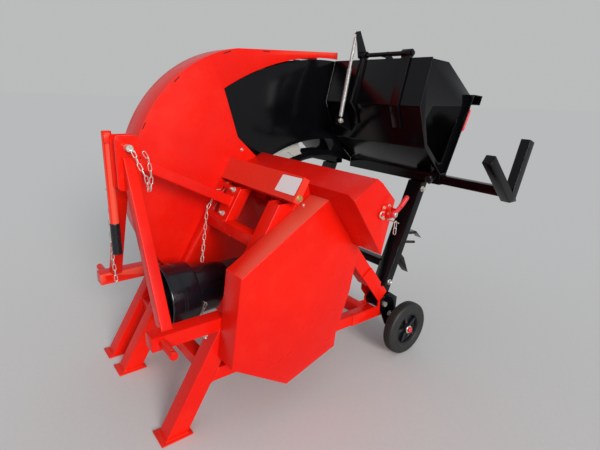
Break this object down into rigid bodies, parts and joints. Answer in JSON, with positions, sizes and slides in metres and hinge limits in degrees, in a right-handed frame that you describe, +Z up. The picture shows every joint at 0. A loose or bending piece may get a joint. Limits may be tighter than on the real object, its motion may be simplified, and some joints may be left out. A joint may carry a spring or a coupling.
{
  "type": "circular log saw",
  "caption": "Tractor driven circular log saw: guarded blade on a belt driven shaft, three point hitch frame and a cradle that tips logs towards the blade.",
  "frame": {"origin": "centre of the footprint of the whole machine at floor height", "axes": "+X along the saw shaft towards the belt drive side, -Y towards the tractor, +Z up"},
  "size_m": [1.324, 1.6024, 1.491],
  "materials": {
    "red_paint": "gloss powder coat",
    "black_paint": "gloss powder coat",
    "zinc": "zinc plated",
    "cast_grey": "painted casting",
    "blade_steel": "ground steel",
    "black_plastic": "moulded plastic",
    "red_plastic": "plastic sleeve",
    "rubber_belt": "belt rubber",
    "tyre_rubber": "solid tyre rubber",
    "spring_steel": "bright close-wound spring"
  },
  "bodies": {
    "frame": {"foot_plates": "red_paint", "front_legs": "red_paint", "lower_rails": "red_paint", "cross_rails": "red_paint", "rear_braces": "red_paint", "pivot_plates": "red_paint", "frame_pins": "zinc", "middle_post": "red_paint", "upper_beam": "red_paint", "link_bars": "red_paint", "link_pins": "red_paint", "mast_legs": "red_paint", "mast_plates": "red_paint", "top_link_pin": "zinc", "guard_rim": "red_paint", "guard_sides": "red_paint", "hood_cover": "red_paint", "hood_end": "red_paint", "belt_guard": "red_paint", "bearings": "cast_grey", "bearing_hangers": "red_paint", "gearbox": "cast_grey", "gearbox_stand": "red_paint", "pto_shield": "black_plastic", "belts": "rubber_belt", "wheel_brackets": "black_paint", "latch_base": "zinc", "chains": "zinc", "frame_bolts": "zinc"},
    "saw_rotor": {"saw_blade": "blade_steel", "saw_shaft": "zinc", "blade_clamp": "blade_steel", "saw_pulley": "cast_grey"},
    "drive_rotor": {"drive_shaft": "zinc", "drive_pulley": "cast_grey"},
    "pto_input": {"pto_stub": "zinc"},
    "cradle": {"cradle_sheets": "black_paint", "trough_left": "black_paint", "trough_right": "black_paint", "trough_end_plate": "black_paint", "rest_socket": "black_paint", "cradle_columns": "black_paint", "cradle_cross_tube": "black_paint", "cradle_handle": "red_plastic", "hinge_straps": "black_paint", "cradle_bolts": "zinc", "shaft_holder": "black_paint"},
    "rest": {"log_rest": "black_paint"},
    "knob": {"clamp_knob": "black_plastic"},
    "hold_down": {"clamp_lever": "black_paint", "clamp_shaft": "black_paint"},
    "strut_foot": {"strut_cylinder": "spring_steel"},
    "strut_top": {"strut_rod": "spring_steel"},
    "wheel_right": {"tyre_right": "tyre_rubber", "rim_right": "black_plastic"},
    "wheel_left": {"tyre_left": "tyre_rubber", "rim_left": "black_plastic"},
    "latch": {"latch_lever": "red_plastic"},
    "towing_handle": {"transport_handle": "red_paint", "handle_grip": "black_plastic"}
  },
  "joints": [
    {"name": "blade_spin", "type": "hinge", "parent": "frame", "child": "saw_rotor", "pos_m": [-0.332, -0.10218, 0.807], "axis": [1, 0, 0], "continuous": true},
    {"name": "drive_spin", "type": "hinge", "parent": "frame", "child": "drive_rotor", "pos_m": [0.068, -0.29618, 0.4], "axis": [1, 0, 0], "continuous": true},
    {"name": "pto_spin", "type": "hinge", "parent": "frame", "child": "pto_input", "pos_m": [-0.087, -0.50218, 0.4], "axis": [0, 1, 0], "continuous": true},
    {"name": "cradle_tip", "type": "hinge", "parent": "frame", "child": "cradle", "pos_m": [-0.332, 0.31482, 0.238], "axis": [1, 0, 0], "range_deg": [0, 30]},
    {"name": "rest_slide", "type": "slide", "parent": "cradle", "child": "rest", "axis": [1, 0, 0], "range_m": [-0.18, 0.2]},
    {"name": "knob_turn", "type": "hinge", "parent": "cradle", "child": "knob", "pos_m": [0.288, 0.52582, 0.837], "axis": [0, 1, 0], "range_deg": [0, 360]},
    {"name": "hold_down_swing", "type": "hinge", "parent": "cradle", "child": "hold_down", "pos_m": [0.048, 0.38982, 1.379], "axis": [1, 0, 0], "range_deg": [-25, 0]},
    {"name": "strut_swing", "type": "hinge", "parent": "cradle", "child": "strut_foot", "pos_m": [-0.11, 0.28982, 1.078], "axis": [1, 0, 0], "range_deg": [-6.5, 0]},
    {"name": "strut_slide", "type": "slide", "parent": "strut_foot", "child": "strut_top", "axis": [0, 0.1824, 0.9832], "range_m": [0, 0.0135]},
    {"name": "wheel_right_spin", "type": "hinge", "parent": "frame", "child": "wheel_right", "pos_m": [0.334, 0.37982, 0.13], "axis": [1, 0, 0], "continuous": true},
    {"name": "wheel_left_spin", "type": "hinge", "parent": "frame", "child": "wheel_left", "pos_m": [-0.581, 0.37982, 0.13], "axis": [1, 0, 0], "continuous": true},
    {"name": "latch_swing", "type": "hinge", "parent": "frame", "child": "latch", "pos_m": [0.52, -0.00618, 0.8], "axis": [1, 0, 0], "range_deg": [0, 60]},
    {"name": "towing_handle_swing", "type": "hinge", "parent": "frame", "child": "towing_handle", "pos_m": [-0.16, -0.77818, 1.027], "axis": [1, 0, 0], "range_deg": [-100, 0]}
  ],
  "couplings": [
    {"joint": "drive_spin", "follows": "blade_spin", "ratio": 0.40179},
    {"joint": "pto_spin", "follows": "blade_spin", "ratio": 0.40179},
    {"joint": "strut_swing", "follows": "hold_down_swing", "ratio": 0.236},
    {"joint": "strut_slide", "follows": "hold_down_swing", "m_per_rad": -0.028}
  ]
}
